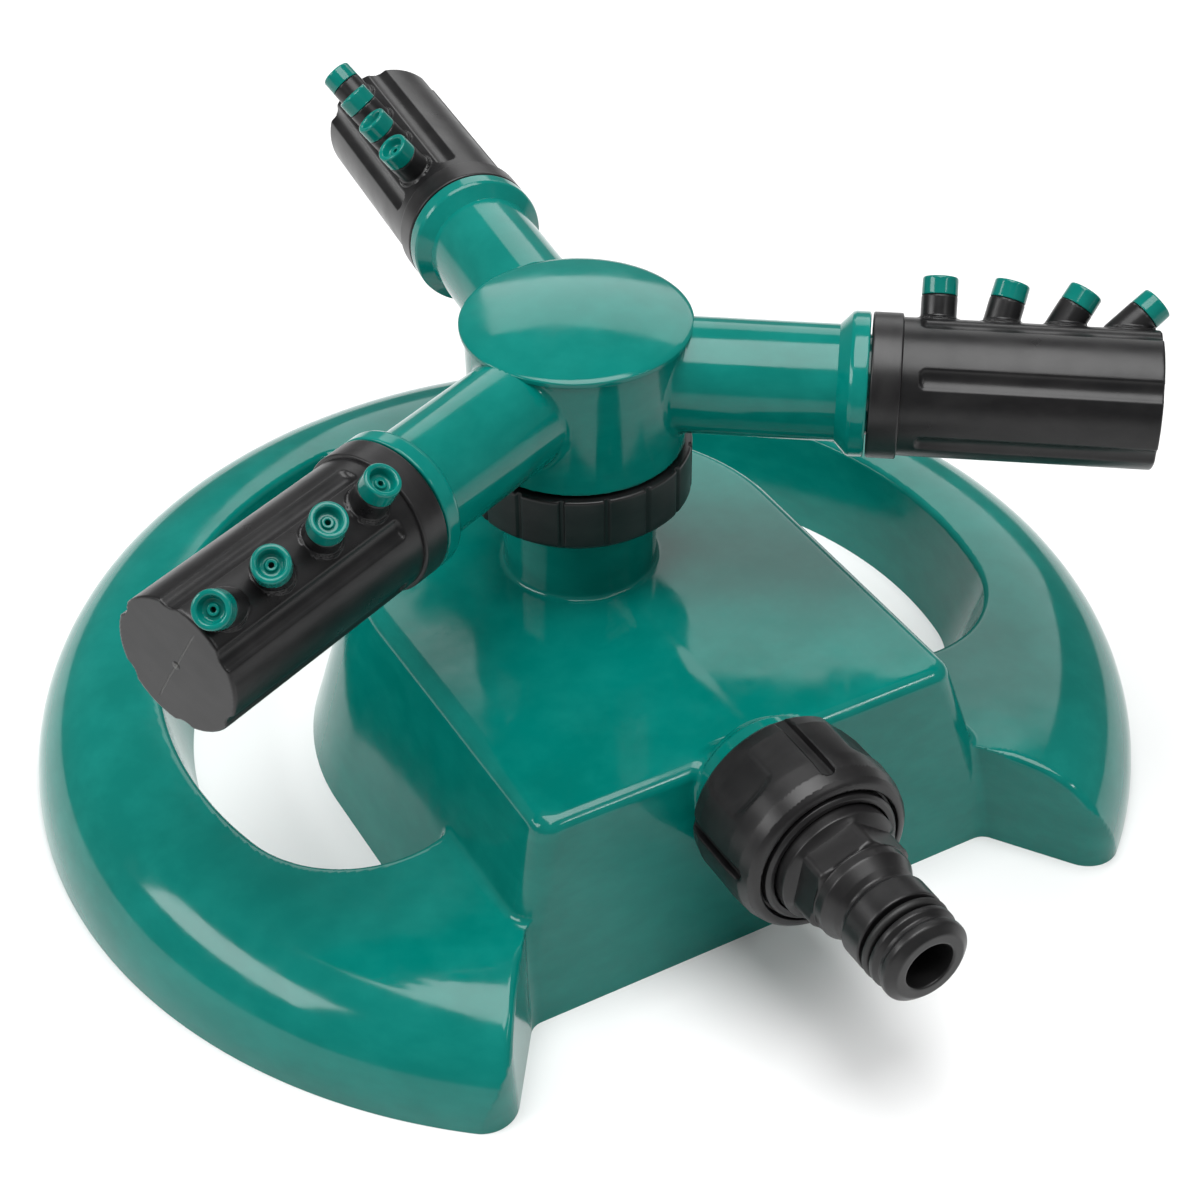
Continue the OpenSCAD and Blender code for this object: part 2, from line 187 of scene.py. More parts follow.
def fillet(points, n=4):
    """A profile of (r, z, radius) corners, with each corner rounded to its radius in n steps."""
    most = 0.48                     # of a side, which one corner's rounding may take
    out = []
    for i, (x, z, rad) in enumerate(points):
        if rad == 0 or i in (0, len(points) - 1):
            out.append((x, z))
            continue
        c = np.array([x, z])
        a, b = np.array(points[i - 1][:2]) - c, np.array(points[i + 1][:2]) - c
        la, lb = np.hypot(*a), np.hypot(*b)
        a, b = a / la, b / lb
        half = math.acos(max(-1, min(1, a @ b))) / 2
        cut = min(rad / math.tan(half), la * most, lb * most)
        rr = cut * math.tan(half)
        mid = c + (a + b) / np.hypot(*(a + b)) * rr / math.sin(half)
        start, end = c + a * cut - mid, c + b * cut - mid
        t0, t1 = math.atan2(start[1], start[0]), math.atan2(end[1], end[0])
        d = (t1 - t0 + math.pi) % (2 * math.pi) - math.pi
        out += [tuple(mid + rr * np.array([math.cos(t0 + d * k / n), math.sin(t0 + d * k / n)]))
                for k in range(n + 1)]
    return out


def hold(profile, gap):
    """The profile with extra points near the ends of long straight runs, so shading stays crisp."""
    out = [profile[0]]
    for a, b in zip(profile, profile[1:]):
        length = math.dist(a, b)
        if length > 4 * gap:
            for t in (gap / length, 1 - gap / length):
                out.append((a[0] + (b[0] - a[0]) * t, a[1] + (b[1] - a[1]) * t))
        out.append(b)
    return out


def loop(corners, gap=0.2, n=4):
    """A rounded, closed profile from corners whose first point, on a straight side, is not repeated."""
    return hold(fillet(corners + corners[:1], n)[:-1], gap)


def turned(profile, angles, shape=None):
    """A closed profile of (r, z) points turned about Z. shape(angle, r, z) may change r."""
    rows, cols = len(profile), len(angles)
    ang = np.array(angles)
    verts = np.empty((rows, cols, 3))
    for i, (r, z) in enumerate(profile):
        rr = np.full(cols, r) if shape is None else shape(ang, r, z)
        verts[i] = np.stack([rr * np.cos(ang), rr * np.sin(ang), np.full(cols, z)], 1)
    index = np.arange(rows * cols).reshape(rows, cols)
    after = np.roll(index, -1, axis=0)
    quads = np.stack([index, np.roll(index, -1, axis=1), np.roll(after, -1, axis=1), after], -1)
    return verts.reshape(-1, 3), quads.reshape(-1, 4)


def circle(n):
    return [2 * math.pi * i / n for i in range(n)]


# ---- pieces ------------------------------------------------------------------------

def mesh_of(name, verts, faces, material, shape=None):
    """A mesh. With a shape, its normals are the shape's own and an open edge on the ground is closed."""
    me = bpy.data.meshes.new(name)
    me.from_pydata((np.asarray(verts) * MM).tolist(), [], np.asarray(faces).tolist())
    me.validate()
    if shape is not None:
        bm = bmesh.new()
        bm.from_mesh(me)
        rim = [e for e in bm.edges if len(e.link_faces) == 1]
        if rim:
            bmesh.ops.triangle_fill(bm, use_beauty=True, use_dissolve=False, edges=rim,
                                    normal=(0, 0, -1))
            bm.to_mesh(me)
        bm.free()
    me.polygons.foreach_set("use_smooth", [True] * len(me.polygons))
    me.materials.append(material)
    me.update()
    if shape is not None:
        normals = slope(np.asarray(verts), shape)
        normals /= np.linalg.norm(normals, axis=1)[:, None]
        corner = np.empty(len(me.loops), int)
        me.loops.foreach_get("vertex_index", corner)
        split = normals[corner]
        for face in list(me.polygons)[len(faces):]:
            split[face.loop_start:face.loop_start + face.loop_total] = (0, 0, -1)
        me.normals_split_custom_set(split.tolist())
    return me


def stand(verts, faces, f):
    """Trims a surface that runs below the ground, so that its edge lies on z = 0."""
    above = verts[:, 2] >= 0
    faces = faces[above[faces].any(1)]
    used, faces = np.unique(faces, return_inverse=True)
    verts, faces = verts[used], faces.reshape(-1, 4)
    low = verts[:, 2] < 0
    foot = verts[low]
    foot[:, 2] = 0
    for _ in range(4):
        g = slope(foot, f)
        g[:, 2] = 0
        foot -= g * (f(foot) / np.maximum((g * g).sum(1), LEAST_SLOPE))[:, None]
    verts[low] = foot
    return verts, faces


def piece(name, mesh, body, node, matrix=None):
    """Places a mesh, on the rotor's axis unless a matrix is given, under a body, and hides the CAD node it
    stands in for.
    """
    o = bpy.data.objects.new(name, mesh)
    bpy.context.scene.collection.objects.link(o)
    o.matrix_world = matrix if matrix is not None else Matrix.Translation((0, AXIS_Y, 0))
    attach(o, body)
    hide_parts(node)
    return o


# ---- materials ---------------------------------------------------------------------

class Nodes:
    """A small helper for building a material's node tree."""

    def __init__(self, name):
        self.mat = bpy.data.materials.new(name)
        self.mat.use_nodes = True
        self.tree = self.mat.node_tree
        self.shader = self.tree.nodes["Principled BSDF"]

    def add(self, kind, settings=None, **inputs):
        n = self.tree.nodes.new("ShaderNode" + kind)
        for k, v in (settings or {}).items():
            setattr(n, k, v)
        for k, v in inputs.items():
            self.put(n, k.replace("_", " "), v)
        return n

    def put(self, node, socket, v):
        """Sets or links an input, given by its name or as i and its number."""
        numbered = socket[0] == "i" and socket[1:].isdigit()
        s = node.inputs[int(socket[1:]) if numbered else socket]
        if isinstance(v, bpy.types.NodeSocket):
            self.tree.links.new(v, s)
        else:
            s.default_value = v

    def place(self):
        return self.add("TexCoord").outputs["Object"]

    def noise(self, at, size_mm, detail=3.0, rough=0.5, stretch=(1, 1, 1)):
        m = self.add("Mapping", Vector=at, Scale=tuple(1 / (size_mm * MM) * s for s in stretch))
        return self.add("TexNoise", Vector=m.outputs[0], Scale=1.0, Detail=detail,
                        Roughness=rough).outputs[0]

    def spread(self, v, lo, hi, a=0.0, b=1.0):
        return self.add("MapRange", Value=v, From_Min=lo, From_Max=hi, To_Min=a, To_Max=b).outputs[0]

    def calc(self, op, a, b=0.0):
        return self.add("Math", {"operation": op}, i0=a, i1=b).outputs[0]

    def sum(self, a, b):
        return self.calc("ADD", a, b)

    def times(self, a, b):
        return self.calc("MULTIPLY", a, b)

    def blend(self, t, a, b):
        m = self.add("Mix", {"data_type": "RGBA"})
        self.put(m, "i0", t)
        self.put(m, "i6", a)
        self.put(m, "i7", b)
        return m.outputs[2]


SCUFF_ROUGH, WORN_ROUGH, SCUFF_MM = 0.06, 0.12, 0.006


def moulded(name, colours, rough, grain_mm, grain, ripple, wear, shine=0.5):
    """Injection-moulded plastic: slow colour drift, a fine skin, faint ripple, worn edges and scuffs.

    colours are plain, pale and deep. grain and ripple are heights in millimetres, and wear is
    how far the edges go pale.
    """
    n = Nodes(name)
    at = n.place()
    plain, pale, deep = [(*c, 1) for c in colours]
    drift = n.spread(n.noise(at, 38, 2), 0.35, 0.65)
    flow = n.spread(n.noise(at, 9, 4, 0.6, (1, 1, 2.2)), 0.4, 0.7)
    col = n.blend(drift, plain, deep)
    col = n.blend(n.times(flow, 0.25), col, pale)
    edge = n.spread(n.add("NewGeometry").outputs["Pointiness"], 0.53, 0.62)
    worn = n.times(edge, n.spread(n.noise(at, 2.2, 5, 0.65), 0.42, 0.66))
    col = n.blend(n.times(worn, wear), col, pale)
    n.put(n.shader, "Base Color", col)
    marks = n.spread(n.noise(at, 1.1, 2, 0.5, (1, 7, 1)), 0.62, 0.72)
    patch = n.spread(n.noise(at, 16, 2), 0.5, 0.66)
    scuffs = n.times(marks, patch)
    r = n.spread(n.noise(at, 6, 4), 0.3, 0.7, rough - 0.03, rough + 0.05)
    r = n.sum(r, n.times(scuffs, SCUFF_ROUGH))
    r = n.sum(r, n.times(worn, WORN_ROUGH * wear))
    n.put(n.shader, "Roughness", r)
    n.put(n.shader, "Specular IOR Level", shine)
    n.put(n.shader, "IOR", 1.5)
    low = n.add("Bump", Strength=1.0, Distance=ripple * MM, Height=n.noise(at, 14, 2, 0.4))
    skin = n.add("Bump", Strength=0.5, Distance=grain * MM, Height=n.noise(at, grain_mm, 2, 0.5),
                 Normal=low.outputs[0])
    top = n.add("Bump", {"invert": True}, Strength=0.4, Distance=SCUFF_MM * MM, Height=scuffs,
                Normal=skin.outputs[0])
    n.put(n.shader, "Normal", top.outputs[0])
    return n


LINE_HALF, LINE_WANDER, LINE_REACH, LINE_FADE, LINE_DEEP = 0.22, 0.16, 8.5, 10.5, 0.12
GATE_R, GATE_FADE, GATE_HIGH, MARK_COLOUR = 0.4, 0.9, 0.35, (0.10, 0.10, 0.09, 1)


def stamped(n, end):
    """Adds a knit line and a gate mark to a nozzle head's closed end, which is at x = end."""
    place = n.place()
    x, y, z = [n.add("SeparateXYZ", Vector=place).outputs[k] for k in range(3)]
    on_end = n.spread(x, (end - 0.9) * MM, (end - 0.3) * MM)
    wander = n.spread(n.noise(place, 7, 2), 0.3, 0.7, -LINE_WANDER * MM, LINE_WANDER * MM)
    line = n.spread(n.sum(y, wander), -LINE_HALF * MM, LINE_HALF * MM, -1.0, 1.0)
    line = n.spread(n.calc("ABSOLUTE", line), 0.3, 1.0, 1.0, 0.0)
    short = n.spread(n.calc("ABSOLUTE", z), LINE_REACH * MM, LINE_FADE * MM, 1.0, 0.0)
    mark = n.times(n.times(line, short), on_end)
    away = n.calc("POWER", n.sum(n.times(y, y), n.times(z, z)), 0.5)
    gate = n.times(n.spread(away, GATE_R * MM, GATE_FADE * MM, 1.0, 0.0), on_end)
    plain = n.shader.inputs["Base Color"].links[0].from_socket
    n.put(n.shader, "Base Color", n.blend(n.times(n.sum(mark, gate), 0.35), plain, MARK_COLOUR))
    old = n.shader.inputs["Normal"].links[0].from_socket
    groove = n.add("Bump", {"invert": True}, Strength=1.0, Distance=LINE_DEEP * MM, Height=mark, Normal=old)
    nub = n.add("Bump", Strength=1.0, Distance=GATE_HIGH * MM, Height=gate, Normal=groove.outputs[0])
    n.put(n.shader, "Normal", nub.outputs[0])
    return n


GREENS = (0.0, 0.165, 0.138), (0.01, 0.25, 0.21), (0.0, 0.14, 0.115)
BLACKS = (0.008, 0.0075, 0.008), (0.035, 0.034, 0.034), (0.006, 0.006, 0.0065)
RUBBERS = (0.008, 0.008, 0.008), (0.02, 0.02, 0.02), (0.006, 0.006, 0.006)
WHITES = (0.6, 0.6, 0.56), (0.7, 0.7, 0.66), (0.52, 0.52, 0.48)
HEAD_OUT = 108.5        # a nozzle head's closed end, from the rotor's axis

green = moulded("green_plastic", GREENS, rough=0.10, grain_mm=0.5, grain=0.004, ripple=0.07,
                wear=0.35, shine=0.35).mat
barrel_black = stamped(moulded("black_plastic", BLACKS, rough=0.30, grain_mm=0.35, grain=0.010,
                               ripple=0.06, wear=0.4, shine=0.35), HEAD_OUT).mat
fitting_black = moulded("black_fitting", BLACKS, rough=0.34, grain_mm=0.3, grain=0.014, ripple=0.05,
                        wear=0.5, shine=0.4).mat
rubber = moulded("seal_rubber", RUBBERS, rough=0.5, grain_mm=0.25, grain=0.012, ripple=0.03, wear=0.3).mat
bearing = moulded("washer_plastic", WHITES, rough=0.4, grain_mm=0.4, grain=0.01, ripple=0.03, wear=0.2).mat

# CAD pieces that show as they are
CARRIED = {"spindle": barrel_black, "lower_washer": bearing, "upper_washer": bearing,
           "spindle_oring": rubber, "head_oring_a": rubber, "head_oring_b": rubber, "head_oring_c": rubber,
           "inlet_washer": rubber, "nipple_oring": rubber}
for node, mat in CARRIED.items():
    for s in frame["nodes"][node].material_slots:
        s.material = mat

# ---- base --------------------------------------------------------------------------

WALL = 2.5
BODY_TOP, BODY_HALF, FRONT = 42.0, 44.5, 66.7
SIDE_DRAFT, FRONT_DRAFT = 0.2976, 0.145
RING_R, RING_H, RING_FWD, CROWN_R, CREST = 113.9, 21.8, 1.0, 88.4, 2.7
INNER_R, RIDGE_R = 82.0, 86.8
GAP_HALF, END_LEAN = math.radians(34.9), math.radians(3)
NOSE_X, NOSE_Y, NOSE_X_LEAN, NOSE_Y_LEAN = 58.8, -11.5, 0.0682, -0.2706
BRIDGE, BEVEL, BEVEL_EDGE = 16.0, 1.5, 0.6
FRONT_CORNER, BRIDGE_CORNER, OPENING_EDGE = 4.5, 5.0, 1.1
END_NOTCH, END_EDGE, TOE, SEAM = 6.0, 1.5, 7.0, 1.4
RISER_R, RISER_TOP = 15.3, 57.4
INLET_Z, BOSS_R, BOSS_BACK, BOSS_FRONT, STUB_R, STUB_END = 35.3, 12.4, 63.8, 70.8, 13.2, 86.0
POST_R, POST_FOOT, PIPE_R, PIPE_BORE = 11.0, 28.0, 6.3, 4.4
SPINDLE_BORE, SPINDLE_FOOT, NIPPLE_R, NIPPLE_SEAT = 8.0, 46.0, 8.6, 70.0
BASE_LO, BASE_HI, BASE_CELL = (-115.6, -116.6, -3.1), (115.6, 114.6, 59), 0.75


def moulding(p):
    """The middle body and the ring, blended, before they are hollowed."""
    x, y, z = np.abs(p[:, 0]), p[:, 1], p[:, 2]
    rho = np.hypot(x, np.maximum(y, 0))
    side = (rho - BODY_HALF - (BODY_TOP - z) * SIDE_DRAFT) / math.hypot(1, SIDE_DRAFT)
    front = (-y - FRONT - (BODY_TOP - z) * FRONT_DRAFT) / math.hypot(1, FRONT_DRAFT)
    wall = both(side, front, FRONT_CORNER)
    body = both(z - BODY_TOP, wall, BEVEL_EDGE)
    body = both(body, (z - BODY_TOP + wall + BEVEL) * math.sqrt(0.5), BEVEL_EDGE)
    rim = np.hypot(x, y + RING_FWD)
    u = np.maximum(rim - CROWN_R, 0) / (RING_R - CROWN_R)
    zz = np.maximum(z, 0)
    level = (zz / RING_H) ** 2 + u ** CREST - 1
    steep = np.hypot(2 * zz / RING_H ** 2, CREST * u ** (CREST - 1) / (RING_R - CROWN_R))
    ring = level / np.maximum(steep, 0.02)
    grow = (RIDGE_R - INNER_R) / RING_H
    big = INNER_R + grow * z
    cx, cy = NOSE_X + NOSE_X_LEAN * z, NOSE_Y + NOSE_Y_LEAN * z
    nose = np.hypot(x - cx, y - cy) - big + np.hypot(cx, cy)
    hole = np.where(y * cx - x * cy > 0, np.hypot(x, y) - big, nose) / math.hypot(1, grow)
    hole = both(hole, BRIDGE - x, BRIDGE_CORNER)
    ring = both(ring, -hole, OPENING_EDGE)
    inward = x * math.cos(GAP_HALF) + y * math.sin(GAP_HALF)
    end = -(inward * math.cos(END_LEAN) - z * math.sin(END_LEAN))
    ring = both(ring, either(end, front, END_NOTCH), END_EDGE)
    ring = np.maximum(ring, both(rim - RING_R, end, TOE))
    return either(body, ring, SEAM)


def base(p):
    """The whole base moulding: the skin hollowed from below, with its riser, boss, stub and pipes."""
    x, y, z = p[:, 0], p[:, 1], p[:, 2]
    skin = moulding(p)
    r = np.hypot(x, y)
    ahead = -y
    off = np.hypot(x, z - INLET_Z)
    solid = either(skin, both(r - RISER_R, z - RISER_TOP, 0.8), 1.2)
    boss = both(off - BOSS_R, np.maximum(BOSS_BACK - ahead, ahead - BOSS_FRONT), 3.5)
    solid = either(solid, boss, 2.2)
    stub = both(off - STUB_R, np.maximum(FRONT - ahead, ahead - STUB_END), 0.6)
    solid = either(solid, stub, 0.6)
    solid = both(solid, -(skin + WALL), 0.6)
    post = np.maximum(r - POST_R, np.maximum(POST_FOOT - z, z - BODY_TOP + 0.5))
    pipe = np.maximum(off - PIPE_R, np.maximum(-ahead, ahead - FRONT))
    solid = either(solid, np.minimum(post, pipe), 1.0)
    bore = np.minimum(np.maximum(r - PIPE_BORE, INLET_Z - PIPE_BORE - z),
                      np.maximum(r - SPINDLE_BORE, SPINDLE_FOOT - z))
    bore = np.minimum(bore, np.maximum(off - PIPE_BORE, -ahead))
    bore = np.minimum(bore, np.maximum(off - NIPPLE_R, NIPPLE_SEAT - ahead))
    return both(solid, -bore, 0.4)


v, f = surface(base, BASE_LO, BASE_HI, BASE_CELL * COARSER)
v, f = stand(v, f, base)
piece("base_moulding", mesh_of("base_moulding", v, f, green, base), "base", "base_shell")

# ---- rotor hub ---------------------------------------------------------------------

HUB_R, HUB_TAPER, HUB_FOOT, HUB_FLOOR = 21.3, 0.4, 71.2, 66.9
CAP_R, CAP_Z, DOME = 22.2, 97.4, 2.6
WALL_TOP = CAP_Z - 1.6
ARM_Z, ARM_A = 86.3, math.radians(204.27)
ARM_R, ARM_BORE = 11.1, 6.5
FLANGE_R, FLANGE_IN, FLANGE_OUT = 13.7, 51.6, 55.0
SPIGOT_R, SPIGOT_END = 9.5, 75.0
SKIRT_R, SKIRT_IN, SKIRT_FOOT = 18.4, 15.0, 62.4
JOURNAL, JOURNAL_TOP, CHAMBER_FOOT = 7.08, 80, 79.4
HUB_LO, HUB_HI, HUB_CELL = (-78, -78, 61), (78, 78, 101.2), 0.6
AXIS_HOLE = 0.02        # a turned piece's grid stops this far from its axis
arm_turns = [ARM_A + k * 2 * math.pi / 3 for k in range(3)]


def hub(p):
    """The rotor moulding below its cap, with its arms, spigots, skirt and bores."""
    x, y, z = p[:, 0], p[:, 1], p[:, 2]
    r = np.hypot(x, y)
    wall = r - (HUB_R - HUB_TAPER * (WALL_TOP - z) / (WALL_TOP - HUB_FOOT))
    core = both(wall, np.maximum(HUB_FOOT - z, z - CAP_Z + 1.0), 0.45)
    arms, bores = np.full(len(p), 1e3), np.full(len(p), 1e3)
    for a in arm_turns:
        s = x * math.cos(a) + y * math.sin(a)
        off = np.hypot(-x * math.sin(a) + y * math.cos(a), z - ARM_Z)
        tube = np.maximum(off - ARM_R, np.maximum(-s, s - FLANGE_IN - 1))
        spigot = both(off - SPIGOT_R, np.maximum(-s, s - SPIGOT_END), 0.4)
        arms = np.minimum(arms, np.minimum(tube, spigot))
        bores = np.minimum(bores, np.maximum(off - ARM_BORE, -s))
    body = either(core, arms, 0.9)
    body = np.maximum(body, np.where(r < CAP_R - 0.3, z - CAP_Z + 0.5, -1.0))
    skirt = np.maximum(np.maximum(r - SKIRT_R, SKIRT_FOOT - z), z - HUB_FOOT - 1)
    body = np.minimum(body, skirt)
    below = np.maximum(r - SKIRT_IN, z - HUB_FLOOR)
    journal = np.maximum(r - JOURNAL, z - JOURNAL_TOP)
    chamber = np.maximum(r - SKIRT_IN, np.maximum(CHAMBER_FOOT - z, z - ARM_Z - ARM_BORE))
    hollow = np.minimum(np.minimum(below, journal), np.minimum(chamber, bores))
    return both(body, -hollow, 0.3)


v, f = surface(hub, HUB_LO, HUB_HI, HUB_CELL * COARSER)
piece("rotor_moulding", mesh_of("rotor_moulding", v, f, green, hub), "rotor", "rotor_hub")

dome_r = np.concatenate([[AXIS_HOLE, 3 * AXIS_HOLE], np.linspace(0.9, CAP_R - 0.35, 24)])
dome = [(x, CAP_Z + DOME * (1 - (x / CAP_R) ** 2), 0) for x in dome_r]
cap_profile = hold(fillet(dome + [
    (CAP_R, CAP_Z - 0.25, 0.25), (CAP_R, CAP_Z - 1.1, 0.2),
    (HUB_R - 0.5, CAP_Z - 1.5, 0), (AXIS_HOLE, CAP_Z - 1.5, 0)]), 0.25)
v, f = turned(cap_profile, circle(144))
piece("rotor_cap", mesh_of("rotor_cap", v, f, green), "rotor", "rotor_hub")

flange_profile = loop([
    (ARM_R - 0.5, 52.0, 0), (ARM_R - 0.5, FLANGE_IN - 2.6, 0), (ARM_R + 0.05, FLANGE_IN - 2.2, 0.4),
    (FLANGE_R - 0.25, FLANGE_IN, 0.5), (FLANGE_R, FLANGE_IN + 0.6, 0.5), (FLANGE_R, FLANGE_OUT, 0.4),
    (SPIGOT_R - 0.2, FLANGE_OUT, 0), (SPIGOT_R - 0.2, 53.0, 0)])
v, f = turned(flange_profile, circle(120))
flange_mesh = mesh_of("rotor_flange", v, f, green)

# ---- retaining nut -----------------------------------------------------------------

NUT_R, NUT_Z, NUT_H, NUT_FLOOR, NUT_HOLE = 22.2, 58.0, 12.6, 3.2, 9.4
NUT_RIBS, NUT_PHASE, SLOT_HALF, SLOT_DEEP = 16, 0.35, 0.5, 0.7
nut_angles = []         # close together across each slot, wide apart between slots
for i in range(NUT_RIBS):
    mid = (i + NUT_PHASE) * 2 * math.pi / NUT_RIBS
    half = SLOT_HALF / NUT_R
    nut_angles += [mid + half * t for t in (-1.7, -1.25, -0.85, -0.5, 0, 0.5, 0.85, 1.25, 1.7)]
    nut_angles += [mid + 2 * math.pi / NUT_RIBS * t for t in (0.2, 0.35, 0.5, 0.65, 0.8)]


def nut_shape(angle, r, z):
    """Cuts the slots between the ribs into the nut's outside."""
    if r < SKIRT_R + 1:
        return np.full(len(angle), r)
    a = (angle * NUT_RIBS / (2 * math.pi) - NUT_PHASE + 0.5) % 1 - 0.5
    away = np.abs(a) * 2 * math.pi / NUT_RIBS * NUT_R
    deep = 1 - step(away, SLOT_HALF * 0.75, SLOT_HALF * 1.3)
    return np.where(deep > 0, np.minimum(r, np.maximum(r - SLOT_DEEP * deep, min(r, NUT_R - SLOT_DEEP))), r)


nut_profile = loop([
    (NUT_HOLE, NUT_Z + 1.5, 0), (NUT_HOLE, NUT_Z, 0.2), (NUT_R - 2.6, NUT_Z, 0.6),
    (NUT_R, NUT_Z + 2.2, 0.9), (NUT_R, NUT_Z + NUT_H, 0.5), (SKIRT_R + 0.15, NUT_Z + NUT_H, 0.25),
    (SKIRT_R + 0.15, NUT_Z + NUT_FLOOR, 0.2), (NUT_HOLE, NUT_Z + NUT_FLOOR, 0.2)], 0.25)
v, f = turned(nut_profile, sorted(nut_angles), nut_shape)
piece("rotor_nut", mesh_of("rotor_nut", v, f, fitting_black), "rotor", "retaining_nut")

# ---- nozzle heads ------------------------------------------------------------------

HEAD_IN, HEAD_R, COLLAR_R, COLLAR_END, COLLAR_IN = 55.4, 13.0, 13.7, 61.0, 12.4
FLUTES, FLUTE_AT, FLUTE_START, FLUTE_DEEP, FLUTE_CUT = 6, 30, 64.2, 0.8, 3.2
SEAT_END, CHAMBER_R, CHAMBER_IN, END_WALL = 72.3, 10.4, 72.2, 2.4
ROW_TURNS = [math.radians(a) for a in (31, 40, 36)]
ROW_START, ROW_STEP, TILTS = 67.5, 11.7, [math.radians(a) for a in (0, 13, 29, 45)]
STUB_LENS, NOZZLE_R, TIP_R, TIP_LEN = (4.4, 4.3, 4.2, 4.0), 3.4, 3.4, 3.5
PIN_HOLE, PLUG_R, PLUG_END = 0.5, 1.9, -3.2
HEAD_LO, HEAD_HI, HEAD_CELL = (54.6, -14.4, -14.4), (116, 14.4, 18.9), 0.42


def head(p):
    """One head: its arm's axis along +X, its nozzle row upward."""
    s, y, z = p[:, 0], p[:, 1], p[:, 2]
    rad = np.hypot(y, z)
    barrel = both(rad - HEAD_R, np.maximum(s - HEAD_OUT, HEAD_IN - s), 0.45)
    for i in range(FLUTES):
        a = math.radians(FLUTE_AT + 360 / FLUTES * i)
        out = HEAD_R - FLUTE_DEEP + FLUTE_CUT
        cut = np.hypot(y - out * math.sin(a), z - out * math.cos(a)) - FLUTE_CUT
        barrel = both(barrel, -both(cut, FLUTE_START - s, 1.2), 0.22)
    solid = both(barrel, HEAD_IN + 0.4 - s, 0.2)
    for i, t in enumerate(TILTS):
        q = ROW_START + ROW_STEP * i
        pad = both(np.hypot(s - q, y) - NOZZLE_R - 0.55, np.maximum(z - HEAD_R - 0.1, 9 - z), 0.1)
        pad = np.maximum(pad, s - HEAD_OUT + 0.4)
        solid = either(solid, pad, 0.2)
        dx, dz = s - q, z - HEAD_R
        along = dx * math.sin(t) + dz * math.cos(t)
        off = np.hypot(dx * math.cos(t) - dz * math.sin(t), y)
        stub = both(off - NOZZLE_R, np.maximum(along - STUB_LENS[i], -3 - along), 0.3)
        solid = either(solid, stub, 0.35)
    seat = np.maximum(rad - SPIGOT_R - 0.08, s - SEAT_END)
    chamber = np.maximum(rad - CHAMBER_R, np.maximum(CHAMBER_IN - s, s - HEAD_OUT + END_WALL))
    cavity = np.minimum(seat, chamber)
    return both(solid, -cavity, 0.3)


v, f = surface(head, HEAD_LO, HEAD_HI, HEAD_CELL * COARSER, 3)
head_mesh = mesh_of("nozzle_head", v, f, barrel_black, head)
collar_profile = loop([
    (COLLAR_IN, 58.0, 0), (COLLAR_IN, HEAD_IN, 0.1), (COLLAR_R, HEAD_IN, 0.4), (COLLAR_R, COLLAR_END, 0.35),
    (HEAD_R - 0.1, COLLAR_END + 0.15, 0), (COLLAR_IN, COLLAR_END + 0.15, 0)])
v, f = turned(collar_profile, circle(120))
collar_mesh = mesh_of("head_collar", v, f, fitting_black)

tip_profile = loop([
    (PIN_HOLE, TIP_LEN - 2.4, 0), (PIN_HOLE, TIP_LEN - 1.3, 0.1), (1.0, TIP_LEN - 1.25, 0.15),
    (1.15, TIP_LEN - 1.8, 0.2), (PLUG_R, TIP_LEN - 1.8, 0.4), (TIP_R - 1.0, TIP_LEN - 0.02, 0.4),
    (TIP_R - 0.05, TIP_LEN - 0.02, 0.4), (TIP_R, 0.0, 0.15), (PLUG_R, 0.0, 0.1),
    (PLUG_R, PLUG_END, 0.2), (PIN_HOLE, PLUG_END, 0.1)], n=3)
v, f = turned(tip_profile, circle(40))
tip_mesh = mesh_of("nozzle_tip", v, f, green)

for k, letter in enumerate("abc"):
    body = "head_" + letter
    arm = (Matrix.Translation((0, AXIS_Y, ARM_Z * MM)) @ Matrix.Rotation(arm_turns[k], 4, "Z")
           @ Matrix.Rotation(-ROW_TURNS[k], 4, "X"))
    piece("head_barrel_" + letter, head_mesh, body, "nozzle_head_" + letter, arm)
    along = arm @ Matrix.Rotation(math.pi / 2, 4, "Y")
    piece("head_collar_" + letter, collar_mesh, body, "nozzle_head_" + letter, along)
    piece("rotor_flange_" + letter, flange_mesh, "rotor", "rotor_hub", along)
    for i, t in enumerate(TILTS):
        foot = (arm @ Matrix.Translation(((ROW_START + ROW_STEP * i) * MM, 0, HEAD_R * MM))
                @ Matrix.Rotation(t, 4, "Y") @ Matrix.Translation((0, 0, STUB_LENS[i] * MM)))
        tip = f"{letter}{i + 1}"
        piece("head_tip_" + tip, tip_mesh, body, "nozzle_tip_" + tip, foot)

# ---- hose inlet --------------------------------------------------------------------

# distances along the inlet are from the rotor's axis
UNION_IN, UNION_OUT, UNION_R, UNION_BORE = 71.6, 92.0, 17.7, 13.6
UNION_OUTLINE = [(UNION_IN, 16.0), (73, 17.1), (75.6, UNION_R), (85, UNION_R), (88.6, 17.4), (90.8, 16.7),
                 (91.7, 15.9), (UNION_OUT, 15.4)]
UNION_SLOTS, SLOT_LONG, SLOT_R = 4, 16.2, 1.35
DENT_LONG, DENT_R, DENT_OFF = 13, 18.5, 17.2
LIP_IN, LIP_OUT, LIP_GROOVE, LIP_BACK = 12.2, 13.8, 14.4, 90.4
UNION_TURN, HEX_TURN = math.radians(87), math.radians(81)
FLANGE_AT, HEX_IN, HEX_OUT, HEX_R, REACH, NIPPLE_BORE = 86.9, 95.7, 101.2, 10.9, 122.5, 4.8
SHANK, NECK, WAIST, NOSE, ORING_BED = 9.65, 11.9, 7.4, 8.9, 7.2
UNION_LO, UNION_HI, UNION_CELL = (-18.6, -18.6, 70.8), (18.6, 18.6, 93.0), 0.4
